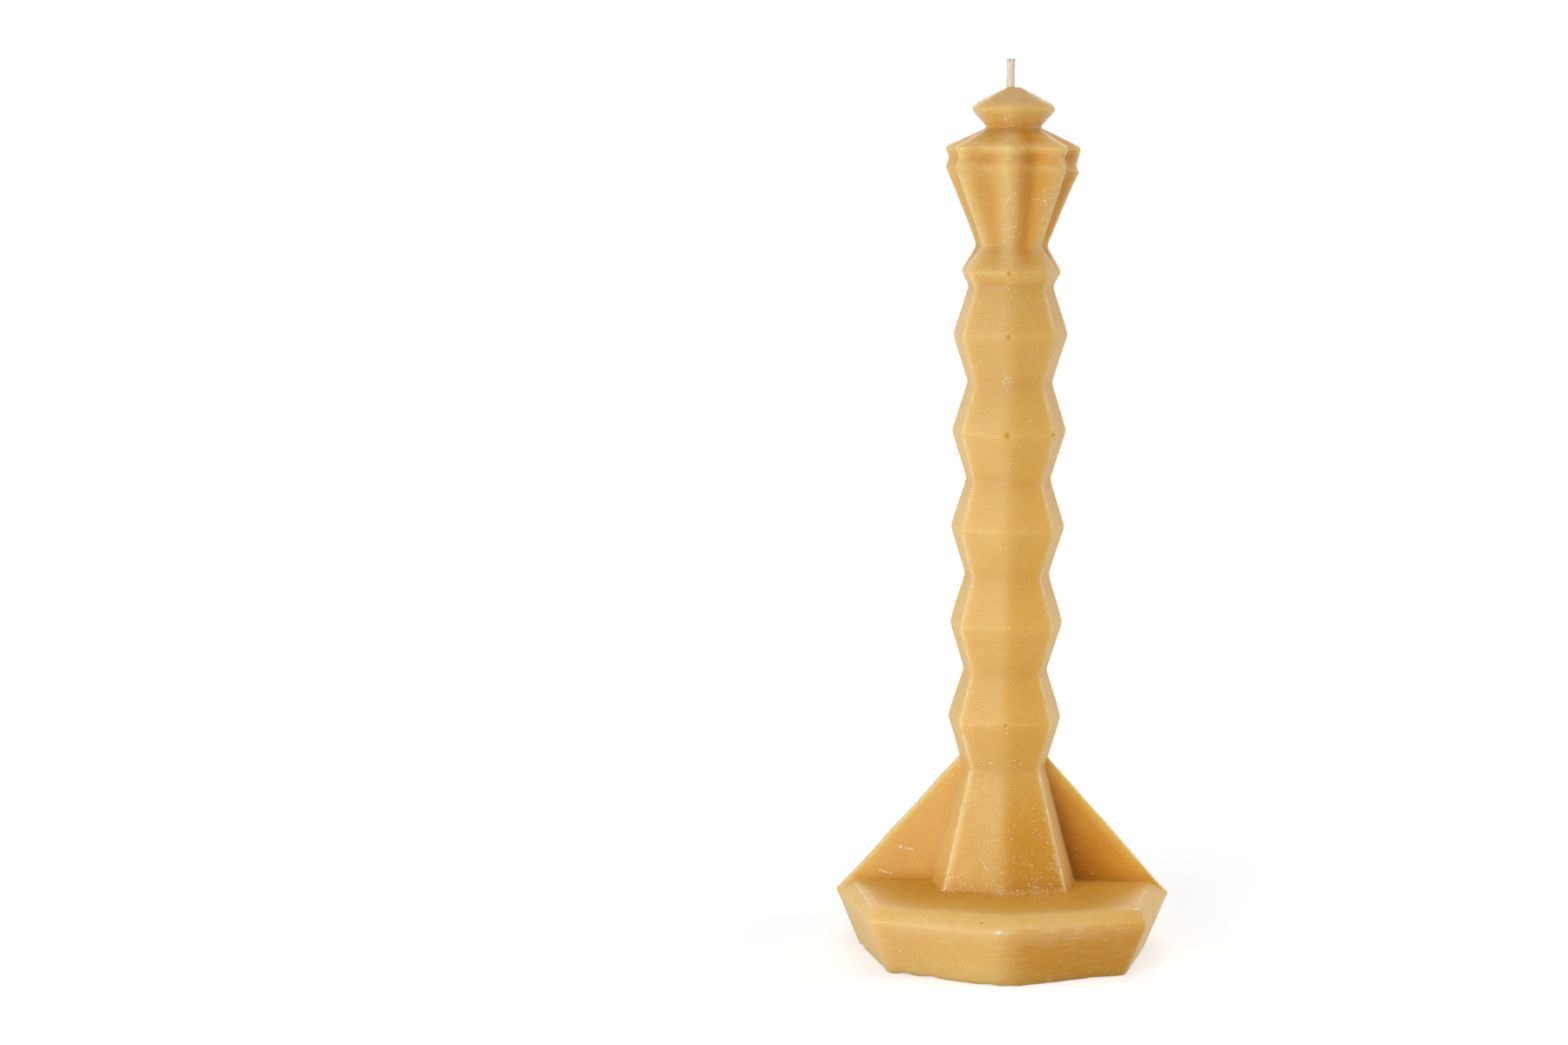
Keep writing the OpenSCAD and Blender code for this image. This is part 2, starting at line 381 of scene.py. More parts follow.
# Lamps: name, place and size in metres, and power in watts; all of them aim at one place
LAMPS = [
    ("key", (-0.4, -0.567, 0.13), 0.55, 4.75),
    ("left", (-0.95, 0.3, 0.3), 0.7, 0.7),
    ("right", (0.94, 0.1, 0.3), 0.7, 4.5),
    ("back", (0.0, 1.0, 0.3), 0.9, 3.2),
    ("top", (0.0, -0.1, 1.2), 0.9, 4.4),
]
LAMP_AIM = (0, 0, 0.09)


def stem(name, height, width, flute=0.0):
    """A section above the foot, whose corners follow the stem's ratio."""
    drawn = width + 2 * MAKE_UP
    return (name, height, drawn, drawn * CORNER_RATIO, flute)


def casting_sections():
    """Every section from the table up: name, height, width across ridges, across corners, flute depth."""
    rows = [
        ("under", 0.0, 65.6, 73.4, 0.0),
        ("rim", RIM_H, 75.8, 86.0, 0.0),
        ("deck", DECK_H, 67.6, 79.6, 0.0),
        ("foot", DECK_H, 33.6, 39.0, 0.0),
    ]
    for i in range(BEAD_COUNT):
        rows.append(stem("waist", FOOT_TOP_H + i * BEAD_PITCH, WAIST_W))
        rows.append(stem("bead", FOOT_TOP_H + (i + 0.5) * BEAD_PITCH, BEAD_W))
    rows += [
        stem("waist", STEM_TOP_H, WAIST_W),
        stem("collar", COLLAR_H, 22.2),
        stem("crown_waist", CROWN_WAIST_H, 15.2, 0.8),
        stem("lower_rim", 176.4, 29.4, 2.4),
        stem("groove", 178.3, 27.6, 2.4),
        stem("upper_rim", UPPER_RIM_H, 30.0, 2.4),
        stem("neck", 185.0, 11.0),
        stem("cap_edge", 188.9, 18.3),
        stem("shoulder", 190.2, 16.4),
        stem("tip", WAX_H, 3.2 - 2 * MAKE_UP),
    ]
    return rows


SECTIONS = casting_sections()


def side_radius(ridge, corner):
    """Radius halfway round a straight side between ridge and corner."""
    half = math.radians(POINT_STEP_DEG)
    return ridge * corner * np.sin(2 * half) / ((ridge + corner) * np.sin(half))


def section_arrays():
    """Heights, radii of ridge, straight side and corner, and flute depths of all sections, as arrays."""
    z = np.array([s[1] for s in SECTIONS])
    ridge = np.array([s[2] for s in SECTIONS]) / 2
    corner = np.array([s[3] for s in SECTIONS]) / 2
    flute = np.array([s[4] for s in SECTIONS])
    return z, ridge, side_radius(ridge, corner), corner, flute


SEC_Z, SEC_RIDGE, SEC_SIDE, SEC_CORNER, SEC_FLUTE = section_arrays()


def profile_lengths():
    """Length of each stretch of the profile, and how far the rounding of each section's edge reaches."""
    length = np.hypot(np.diff(SEC_Z), np.diff(SEC_RIDGE))
    room = ROUND_SHARE * np.minimum(np.append(length, np.inf), np.insert(length, 0, np.inf))
    return length, np.minimum([SOFT_EDGE[s[0]] for s in SECTIONS], room)


STRETCH, SOFT_AT = profile_lengths()


def row_places():
    """Mesh rows along the profile, as section number plus a share of the way to the next section.

    Each edge has three or five rows over its rounding, and even rows lie from one rounding to the next."""
    out = []
    for j, length in enumerate(STRETCH):
        lead, trail = SOFT_AT[j] / length, SOFT_AT[j + 1] / length
        plain = 1 - lead - trail
        inner = max(math.ceil(plain * length / ROW_STEP) - 1, 0)
        even = np.arange(1, inner + 1) / (inner + 1)
        leaving = [j + lead / 2] if SOFT_AT[j] > WIDE_SOFT else []
        coming = [j + 1 - trail / 2] if SOFT_AT[j + 1] > WIDE_SOFT else []
        out += [j, *leaving, j + lead, *(j + lead + plain * even), j + 1 - trail, *coming]
    return np.array(out + [len(STRETCH)], float)


def along(rows, values):
    """Section values at the mesh rows: straight between edges, a parabola over each edge's rounding."""
    last = len(STRETCH)
    j = np.rint(rows).astype(int)
    before, after = STRETCH[np.maximum(j - 1, 0)], STRETCH[np.minimum(j, last - 1)]
    off = rows - j
    reach = np.where(off < 0, off * before, off * after) / SOFT_AT[j]
    u = np.clip(reach, -1, 1)
    step_back = (values[np.maximum(j - 1, 0)] - values[j]) * SOFT_AT[j] / before
    step_on = (values[np.minimum(j + 1, last)] - values[j]) * SOFT_AT[j] / after
    rounded = values[j] + ((1 - u) / 2) ** 2 * step_back + ((1 + u) / 2) ** 2 * step_on
    straight = np.interp(rows, np.arange(last + 1), values)
    return np.where((np.abs(reach) < 1) & (j > 0) & (j < last), rounded, straight)


def outline_points(z, ridge, side, corner):
    """The outline's points at each row, evenly round: ridge, side, corner, side; turned by the twist."""
    k = np.arange(OUTLINE_POINTS + 1)
    radius = np.stack([ridge, side, corner, side], -1)[..., k % 4]
    angle = np.radians(k * POINT_STEP_DEG + TWIST_DEG * (z / WAX_H)[..., None])
    return np.stack([radius * np.cos(angle), radius * np.sin(angle)], -1)


def side_hump(grid):
    """How near each point is to its side's middle, 0 at ridges and corners: a sine over the side's angle."""
    turn = np.degrees(np.arctan2(grid[..., 1], grid[..., 0])) - TWIST_DEG * grid[..., 2] / WAX_H
    return np.sin(np.pi * (turn % SIDE_DEG) / SIDE_DEG) ** HUMP_POWER


def with_height(points, z):
    """Flat points of each row, lifted to the row's height."""
    return np.concatenate([points, np.broadcast_to(z[:, None, None], points.shape[:2] + (1,))], -1)


def rounded_side(edge, mid, other, soft, share):
    """Points from an upright edge to the middle of its side, at shares of that way.

    Over the soft distance the outline is a parabola that leaves towards the middle of the other side."""
    to_mid, to_other = mid - edge, other - edge
    length = np.linalg.norm(to_mid, axis=-1)[:, None]
    reach = np.minimum(soft, ROUND_SHARE * length)
    way_mid = (to_mid / length)[:, None]
    way_other = (to_other / np.linalg.norm(to_other, axis=-1)[:, None])[:, None]
    distance = share * length
    v = np.clip(distance / reach, 0, 1)[..., None]
    rounded = reach[..., None] * (((1 - v) / 2) ** 2 * way_other + ((1 + v) / 2) ** 2 * way_mid)
    return edge[:, None] + np.where(v < 1, rounded, distance[..., None] * way_mid)


def by_height(z, values):
    """Values given at the heights of the edges' softness, at each row's height, as one column."""
    return np.interp(z, SOFT_HEIGHTS, values)[:, None]


def half_side(edge, mid, other, soft):
    """Columns from an upright edge to the middle of its side, and each one's distance from the edge."""
    length = np.linalg.norm(mid - edge, axis=-1)[:, None]
    lead = np.minimum(soft / length, ROUND_SHARE)
    even = np.arange(1, SIDE_COLUMNS + 1) / SIDE_COLUMNS
    share = np.concatenate([0 * lead, lead / 2, lead, lead + (1 - lead) * even], -1)
    return rounded_side(edge, mid, other, soft, share), share * length


def x_at(a, b, y):
    """X of the straight line from a to b where it crosses the given y."""
    t = (y - a[:, 1]) / (b[:, 1] - a[:, 1])
    return a[:, 0] + t * (b[:, 0] - a[:, 0])


def fin_columns(a, b, other, z, tip, reach, hand, amount):
    """Columns from ridge a, which carries a fin, to the middle b of its side, with b.

    The fin is a flat plate: half its tip face, then its flat side from the tip back to the root, then the
    casting's own side. Each row climbs the tip by its own height. reach and hand are the signs of the fin's
    X and of this side's Y. Where amount is 0 there is no fin and the columns spread over the side.
    Also returns where the points lie on the fin, and how strong its painted shade is: strongest far from the
    slanted edge, and along the deck."""
    tip_z, tip_a, tip_b = tip
    slope = math.tan(math.radians(FIN_SLOPE_DEG))
    edge = np.where(tip_z >= RIM_H, FIN_REACH - (tip_z - RIM_H) / slope, 0.0)

    def outward(x):
        return reach * np.maximum(reach * x, edge)

    def tip_point(y):
        x = outward(x_at(tip_a, tip_b, y))
        return np.stack([x, np.full_like(x, y), tip_z], -1)

    def wall_point(y):
        x = x_at(a, b, y)
        return np.stack([x, np.full_like(x, y), z], -1)

    finned = edge > reach * tip_a[:, 0]
    centre = np.stack([outward(tip_a[:, 0]), np.where(finned, 0.0, tip_a[:, 1]), tip_z], -1)
    corner = tip_point(hand * FIN_HALF)
    root = wall_point(hand * (FIN_HALF + FIN_DRAFT))
    length = np.linalg.norm(root - corner, axis=-1, keepdims=True)
    lead = np.minimum(SOFT_FIN / length, FIN_ROUND_SHARE)
    even = np.arange(1, FIN_COLUMNS + 1) / (FIN_COLUMNS + 1)
    share = np.concatenate([lead, lead + (1 - 2 * lead) * even, 1 - lead], -1)[..., None]
    plate = corner[:, None] * (1 - share) + root[:, None] * share
    far = np.concatenate([b, z[:, None]], -1)
    past = wall_point(hand * (FIN_HALF + FIN_DRAFT + SOFT_FIN))
    wall = [past * (1 - s) + far * s for s in np.linspace(0, 1, WALL_COLUMNS)]
    head = [centre, tip_point(hand * (FIN_HALF - SOFT_FIN)), corner]
    drawn = np.stack(head + list(np.moveaxis(plate, 1, 0)) + [root] + wall, 1)
    spread = np.linspace(0, 1, drawn.shape[1])
    plain = with_height(rounded_side(a, b, other, by_height(z, SOFT_RIDGE), spread), z)
    w = amount[:, None, None]
    of_fin = np.arange(drawn.shape[1]) < drawn.shape[1] - WALL_COLUMNS
    on_fin = np.clip(length / FIN_CLEAR, 0, 1) * (amount[:, None] >= 1) * of_fin
    # Painted shade on the fins, strongest on the +X fin, which lies in the foot's shadow, and along the deck
    inward = 1 - np.exp(-np.linalg.norm(drawn - corner[:, None], axis=-1) / FIN_SHADE_DEPTH)
    above = np.clip(drawn[..., 2] - DECK_H, 0, None)
    shade_depth = np.maximum(FIN_SHADE[reach] * inward, FIN_DECK_SHADE[reach] * np.exp(-above / FIN_SHADE_RISE))
    return drawn * w + plain * (1 - w), on_fin, on_fin * shade_depth


def wave_noise(points, size, seed, waves=24):
    """Smooth seeded noise, about -1 to 1: plane waves of about the given length in random directions."""
    rng = np.random.default_rng(seed)
    direction = rng.normal(size=(waves, 3))
    direction /= np.linalg.norm(direction, axis=1, keepdims=True)
    scale = 2 * np.pi / (size * rng.uniform(*WAVE_LENGTHS, waves))
    phase = points @ (direction * scale[:, None]).T + rng.uniform(0, 2 * np.pi, waves)
    return np.sin(phase).sum(-1) / math.sqrt(waves)


def grid_normals(grid):
    """Outward directions on a grid that closes round: the cross product of its two central differences."""
    around = np.roll(grid, -1, 1) - np.roll(grid, 1, 1)
    up = np.gradient(grid, axis=0)
    n = np.cross(around, up)
    return n / np.maximum(np.linalg.norm(n, axis=-1, keepdims=True), TINY)


def closed_mesh(name, grid, masks, low_pole, high_pole):
    """A mesh in metres from a grid that closes round, with a pole under its first and over its last row."""
    rows, cols = grid.shape[:2]
    verts = np.concatenate([grid.reshape(-1, 3), [low_pole, high_pole]]) * MM
    r, c = np.meshgrid(np.arange(rows - 1), np.arange(cols), indexing="ij")
    n = (c + 1) % cols
    quads = np.stack([r * cols + c, r * cols + n, (r + 1) * cols + n, (r + 1) * cols + c], -1)
    c, n = np.arange(cols), (np.arange(cols) + 1) % cols
    top = (rows - 1) * cols
    low = np.stack([np.full(cols, rows * cols), n, c], -1)
    high = np.stack([np.full(cols, rows * cols + 1), top + c, top + n], -1)
    mesh = bpy.data.meshes.new(name)
    mesh.from_pydata(verts.tolist(), [], quads.reshape(-1, 4).tolist() + low.tolist() + high.tolist())
    for key, values in masks.items():
        layer = mesh.attributes.new(key, "FLOAT", "POINT")
        ends = [values[0].mean(), values[-1].mean()]
        layer.data.foreach_set("value", np.concatenate([values.ravel(), ends]).astype(np.float32))
    mesh.shade_smooth()
    mesh.update()
    return mesh


def profile_masks(rows, run):
    """How much wear with painted highlight, and how much painted shade, each mesh row has, from the edges and
    hollows that lie near it on the profile.

    Wear and highlight fall off as exp(-distance squared) and shade as exp(-distance); the painted shade of
    the deck grows evenly."""
    worn_and_highlit, painted_shade = np.zeros((2, len(rows)))
    for j, (name, *_) in enumerate(SECTIONS):
        near = np.abs(run - np.interp(j, rows, run))
        if name in WEAR_AND_HIGHLIGHT:
            strength, spread = WEAR_AND_HIGHLIGHT[name]
            worn_and_highlit = np.maximum(worn_and_highlit, strength * np.exp(-((near / spread) ** 2)))
        # Painted shade gathers in the hollows between the sections
        if name in HOLLOW_SHADE:
            strength, spread = HOLLOW_SHADE[name]
            painted_shade = np.maximum(painted_shade, strength * np.exp(-near / spread))
    # Painted shade on the deck, growing towards the foot
    on_deck = (rows > DECK) & (rows < FOOT)
    painted_shade = np.maximum(painted_shade, np.where(on_deck, np.interp(rows, (DECK, FOOT), DECK_SHADE), 0))
    return worn_and_highlit, painted_shade, on_deck


def fin_climb(rows, run, z):
    """How each mesh row follows the fins: its height on their tips, the outline there, and its amount of fin.

    The tip's height climbs evenly while the rows run over chamfer, deck and foot."""
    start = np.interp(RIM, rows, run)
    end = run[np.argmax(z >= FIN_END_H)]
    share = np.clip((run - start) / (end - start), 0, 1)
    tip_z = np.where((run > start) & (run < end), RIM_H + (FIN_END_H - RIM_H) * share, z)
    rising = SEC_Z + SECTION_RISE * np.arange(len(SEC_Z))
    radii = [np.interp(tip_z, rising, values) for values in (SEC_RIDGE, SEC_SIDE, SEC_CORNER)]
    amount = np.clip(1 - np.maximum(start - run, run - end) / FIN_FADE, 0, 1)
    return tip_z, outline_points(tip_z, *radii), amount


def wax_surface():
    """The casting as a grid: eight-sided outlines carried up the profile, with fins drawn out of two ridges.

    Returns the points, and masks by name: pale wear with painted highlights, painted shade, chafed corners,
    all but the fins, and pits."""
    rows = row_places()
    z, ridge, side, corner = (along(rows, values) for values in (SEC_Z, SEC_RIDGE, SEC_SIDE, SEC_CORNER))
    flute = along(rows, SEC_FLUTE)[:, None]
    ring = outline_points(z, ridge, side, corner)
    run = np.concatenate([[0], np.cumsum(np.hypot(np.diff(z), np.diff(ridge)))])
    tip_z, tip_ring, amount = fin_climb(rows, run, z)
    row_wear_and_highlight, row_shade, on_deck = profile_masks(rows, run)
    off_deck = ~on_deck[:, None]

    parts = []
    masks = {"worn_and_highlit": [], "painted_shade": [], "chafed": [], "body": []}
    for k in range(OUTLINE_POINTS):
        # Odd halves run from the middle of a side to its edge, even ones from the edge to the middle
        forward = k % 2 == 0
        edge, mid = (k, k + 1) if forward else (k + 1, k)
        other = (2 * edge - mid) % OUTLINE_POINTS
        a, b, c = ring[:, edge], ring[:, mid], ring[:, other]
        if edge % HALF_ROUND == 0:
            tip = (tip_z, tip_ring[:, edge], tip_ring[:, mid])
            reach = 1 if edge % OUTLINE_POINTS == 0 else -1
            hand = 1 if k < HALF_ROUND else -1
            part, on_fin, fin_shading = fin_columns(a, b, c, z, tip, reach, hand, amount)
            edge_worn, line = np.zeros((2, *part.shape[:2]))
            edge_worn[:, FIN_EDGE_COLUMN] = FIN_WORN
        else:
            is_corner = edge % 4 == 2
            soft = by_height(z, SOFT_CORNER if is_corner else SOFT_RIDGE)
            rubbed = by_height(z, CORNER_WORN if is_corner else RIDGE_WORN)
            points, distance = half_side(a, b, c, soft)
            part = with_height(points, z)
            on_fin = fin_shading = np.zeros(part.shape[:2])
            edge_worn = rubbed * np.exp(-((distance / soft) ** 2)) * off_deck
            line = by_height(z, CORNER_CHAFED) * np.exp(-((distance / CHAFED_REACH) ** 2))
            line = line * is_corner * off_deck
        body = 1 - on_fin
        made = {
            "worn_and_highlit": np.maximum(edge_worn, row_wear_and_highlight[:, None] * body),
            "painted_shade": np.maximum(fin_shading, row_shade[:, None] * body),
            "chafed": line,
            "body": body,
        }
        order = slice(None, -1) if forward else slice(None, 0, -1)
        parts.append(part[:, order])
        for name, values in made.items():
            masks[name].append(values[:, order])
    grid = np.concatenate(parts, 1)
    masks = {name: np.concatenate(values, 1) for name, values in masks.items()}

    hump = side_hump(grid)
    radius = np.hypot(grid[..., 0], grid[..., 1])
    grid[..., :2] *= (1 - FLUTE_SHARE * flute * hump / radius)[..., None]
    # Painted shade in the flutes, deepest at front right and back left
    shaded_side = np.where(grid[..., 0] * grid[..., 1] < 0, 1.0, FLUTE_SHADE_SHARE)
    flute_shading = np.clip(flute, 0, 1) * hump * shaded_side
    masks["painted_shade"] = np.maximum(masks["painted_shade"], FLUTE_SHADE * flute_shading)
    foot_run = np.interp(FOOT, rows, run)
    pits = np.exp(-np.abs(run - foot_run) / np.where(run > foot_run, PITS_UP, PITS_OUT))[:, None]
    masks["pitted"] = pits * np.clip(2 - np.abs(grid[..., 0]) / PITS_ROUND, 0, 1) * masks["body"]
    return grid, masks


def mould_faults(grid):
    """Larger faults of the casting: the front edge of the underside bulges out, and the right lobe sags.

    Each is a hump over the angle round the axis. The bulge fades up to the rim, and the sag above and
    below its height."""
    x, y, z = np.moveaxis(grid, -1, 0)
    angle = np.degrees(np.arctan2(y, x))
    radius = np.hypot(x, y)
    bulge = BULGE * np.exp(-(((angle - BULGE_AT) / BULGE_SPREAD) ** 2)) * np.clip(1 - z / RIM_H, 0, 1)
    sag = SAG * np.exp(-(((angle - SAG_AT) / SAG_SPREAD) ** 2) - ((z - SAG_H) / SAG_RISE) ** 2)
    out = 1 + bulge / np.maximum(radius, 1)
    return np.stack([x * out, y * out, z - sag], -1)


def add_ends(grid, masks):
    """Rows that close the underside, slightly dished, and the blunt tip: the end rows drawn inwards."""
    low_share = np.array(UNDER_SHARES)[:, None, None]
    low = grid[0] * low_share
    low[..., 2] = DISH * (1 - low_share[..., 0] ** 2)
    high_share = np.array(TIP_SHARES)[:, None, None]
    high = grid[-1] * high_share
    high[..., 2] = WAX_H
    out = {}
    for key, values in masks.items():
        zero = np.zeros((len(low_share), values.shape[1]))
        out[key] = np.concatenate([zero, values, np.repeat(values[-1:], len(high_share), 0)])
    return np.concatenate([low, grid, high]), out


def place_on(grid, angle_deg, height):
    """The grid's outer point nearest to an angle round the axis and a height."""
    radius = np.hypot(grid[..., 0], grid[..., 1])
    angle = np.degrees(np.arctan2(grid[..., 1], grid[..., 0]))
    turn = np.radians((angle - angle_deg + 180) % 360 - 180) * radius
    off = np.hypot(turn, grid[..., 2] - height)
    return grid.reshape(-1, 3)[np.argmin(off)]


def spots_on(grid, spots):
    """A hump at each spot of a list: the largest of strength times exp(-(distance / reach) squared)."""
    out = np.zeros(grid.shape[:2])
    for angle, height, reach, strength in spots:
        off = np.linalg.norm(grid - place_on(grid, angle, height), axis=-1)
        out = np.maximum(out, strength * np.exp(-((off / reach) ** 2)))
    return out


def age_surface(grid, seed):
    """Moves the grid along its normals by slow waves and air dents, and lifts its lower edge in ripples."""
    flat = grid.reshape(-1, 3)
    waves = sum(rise * wave_noise(flat, length, seed + i) for i, (rise, length) in enumerate(SLOW_WAVES))
    shift = waves.reshape(grid.shape[:2]) - spots_on(grid, AIR_DENTS)
    aged = grid + grid_normals(grid) * shift[..., None]
    low = np.exp(-grid[..., 2] / RIPPLE_FADE)
    ripple = wave_noise(flat, RIPPLE_LENGTH, seed + len(SLOW_WAVES)).reshape(grid.shape[:2]) - RIPPLE_REST
    outside = np.clip(np.hypot(grid[..., 0], grid[..., 1]) / RIPPLE_R, 0, 1) ** RIPPLE_POWER
    aged[..., 2] += RIPPLE * np.clip(ripple, 0, 1) * low * outside
    low_end, high_end = (np.array(end) * PER_MM for end in CAD_BOX)
    return np.clip(aged, low_end, np.append(high_end[:2], WAX_H))


def bloom_and_sheen_on(grid):
    """How much pale blooming and painted sheen lies at each point: most on faces turned left towards the key
    light, or the opposite way, least where the face looks up, or across that way.
    """
    start, full = BLOOM_AND_SHEEN_LEAN
    lean = np.clip((np.abs(grid_normals(grid) @ BLOOM_AND_SHEEN_WAY) - start) / (full - start), 0, 1)
    return lean * lean * (3 - 2 * lean)


def new_piece(name, mesh, node, material):
    """A finished piece at the origin that rides on the candle's one body and stands for a node."""
    piece = bpy.data.objects.new(name, mesh)
    bpy.context.scene.collection.objects.link(piece)
    mesh.materials.append(material)
    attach(piece, "root")
    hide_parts(node)
    return piece


def add_node(tree, kind, inputs=None, **settings):
    """A shader node whose inputs are given as values or as the sockets that feed them."""
    made = tree.nodes.new(kind)
    for key, value in settings.items():
        setattr(made, key, value)
    for key, value in (inputs or {}).items():
        if isinstance(value, bpy.types.NodeSocket):
            tree.links.new(value, made.inputs[key])
        else:
            made.inputs[key].default_value = value
    return made


def new_material(name):
    """A material with nodes, and its tree and its Principled shader."""
    material = bpy.data.materials.new(name)
    material.use_nodes = True
    tree = material.node_tree
    return material, tree, tree.nodes["Principled BSDF"]


def math_node(tree, operation, a, b=None, c=None, clamp=False):
    """The result of a Math node."""
    inputs = {i: v for i, v in enumerate((a, b, c)) if v is not None}
    return add_node(tree, "ShaderNodeMath", inputs, operation=operation, use_clamp=clamp).outputs[0]


def vector_node(tree, operation, inputs, output="Vector"):
    """A result of a Vector Math node."""
    return add_node(tree, "ShaderNodeVectorMath", inputs, operation=operation).outputs[output]


def ramp(tree, value, low, high, to_low=0.0, to_high=1.0):
    """A value mapped smoothly from one range to another."""
    inputs = {"Value": value, "From Min": low, "From Max": high, "To Min": to_low, "To Max": to_high}
    made = add_node(tree, "ShaderNodeMapRange", inputs, interpolation_type="SMOOTHSTEP", clamp=True)
    return made.outputs["Result"]


def tint(tree, factor, under, over):
    """Colour under, mixed with colour over by factor. The inputs are those of a Mix node set to colours."""
    inputs = {0: factor, 6: under, 7: over}
    return add_node(tree, "ShaderNodeMix", inputs, data_type="RGBA", clamp_factor=True).outputs[2]


def srgb(red, green, blue):
    """A colour written as 0 to 255 screen values, as linear light: the usual screen curve, undone."""
    c = np.array([red, green, blue]) / 255.0
    linear = np.where(c <= 0.04045, c / 12.92, ((c + 0.055) / 1.055) ** 2.4)
    return (*linear.tolist(), 1.0)


def noise_value(tree, vector, name):
    """One of the listed noises, about 0.5 in the mean."""
    scale, detail, rough = NOISE[name]
    inputs = {"Vector": vector, "Scale": scale, "Detail": detail, "Roughness": rough}
    return add_node(tree, "ShaderNodeTexNoise", inputs).outputs[0]


def noise_mask(tree, vector, name):
    """One of the listed noises, mapped to its range."""
    return ramp(tree, noise_value(tree, vector, name), *NOISE_RANGE[name])


def coat(tree, under, name, mask):
    """A colour, covered by one of the listed coats where its mask is."""
    share, colour = COATS[name]
    return tint(tree, math_node(tree, "MULTIPLY", mask, share), under, srgb(*colour))


def scaled(tree, vector, factors):
    """A vector stretched along its axes."""
    return vector_node(tree, "MULTIPLY", {0: vector, 1: factors})


def object_mm(tree):
    """The place on the piece in millimetres."""
    place = add_node(tree, "ShaderNodeTexCoord").outputs["Object"]
    return scaled(tree, place, (PER_MM, PER_MM, PER_MM))


def mask_of(tree, name):
    """The value of one of the mesh's own masks."""
    return add_node(tree, "ShaderNodeAttribute", attribute_name=name).outputs["Fac"]


def level_lines(tree, mm, height):
    """Fine level lines, a sine of the height from -1 to 1, that waver from place to place."""
    waver = math_node(tree, "MULTIPLY", noise_value(tree, mm, "waver"), LINE_WAVER)
    phase = math_node(tree, "MULTIPLY_ADD", height, 2 * math.pi / LAYER_PITCH, waver)
    return math_node(tree, "SINE", phase)


def burst_bubbles(tree, mm, pitted):
    """Ring-shaped pits of burst bubbles: masks of the dark middle and of the light lip around it.

    A bubble sits at each of some points scattered through the wax, more of them where the wax is pitted."""
    cells = add_node(tree, "ShaderNodeTexVoronoi", {"Vector": mm, "Scale": 1.0 / BUBBLE_GAP}).outputs
    chance = add_node(tree, "ShaderNodeSeparateColor", {0: cells["Color"]}).outputs
    some = ramp(tree, math_node(tree, "MULTIPLY_ADD", pitted, PITTED_PICK, chance[0]), *BUBBLE_PICK)
    size = math_node(tree, "MULTIPLY_ADD", chance[1], BUBBLE_R_MORE, BUBBLE_R)
    off = math_node(tree, "DIVIDE", cells["Distance"], size)
    hole = math_node(tree, "MULTIPLY", ramp(tree, off, *HOLE_EDGE), some)
    from_lip = math_node(tree, "ABSOLUTE", math_node(tree, "SUBTRACT", off, LIP_AT))
    lip = math_node(tree, "MULTIPLY", ramp(tree, from_lip, *LIP_EDGE), some)
    return hole, lip


def white_specks(tree, mm, frost, worn_and_highlit):
    """Mask of crisp specks of pale wax: dense where frost lies, and a few along the edges with wear and
    painted highlights.
    """
    more = math_node(tree, "MULTIPLY_ADD", frost, SPECK_FROST, math_node(tree, "MULTIPLY", worn_and_highlit, SPECK_WORN))
    added = math_node(tree, "ADD", more, noise_mask(tree, mm, "speck_drift"))
    level = math_node(tree, "ADD", noise_value(tree, mm, "speck"), added)
    return ramp(tree, level, *SPECK_LEVEL)


def line_distance(tree, mm, start, end):
    """Distance in millimetres from the surface to the straight line between two points."""
    start, way = Vector(start), Vector(end) - Vector(start)
    off = vector_node(tree, "SUBTRACT", {0: mm, 1: start})
    dot = vector_node(tree, "DOT_PRODUCT", {0: off, 1: way}, "Value")
    share = math_node(tree, "MULTIPLY", dot, 1 / max(way.length_squared, TINY), clamp=True)
    nearest = vector_node(tree, "SCALE", {0: way, "Scale": share})
    return vector_node(tree, "DISTANCE", {0: off, 1: nearest}, "Value")


def marks_at(tree, mm, lines, core):
    """Mask of marks along straight lines, given as two ends and a reach: full inside the core's share."""
    mask = 0.0
    for start, end, reach in lines:
        near = ramp(tree, line_distance(tree, mm, start, end), reach, reach * core)
        mask = math_node(tree, "MAXIMUM", mask, near)
    return mask


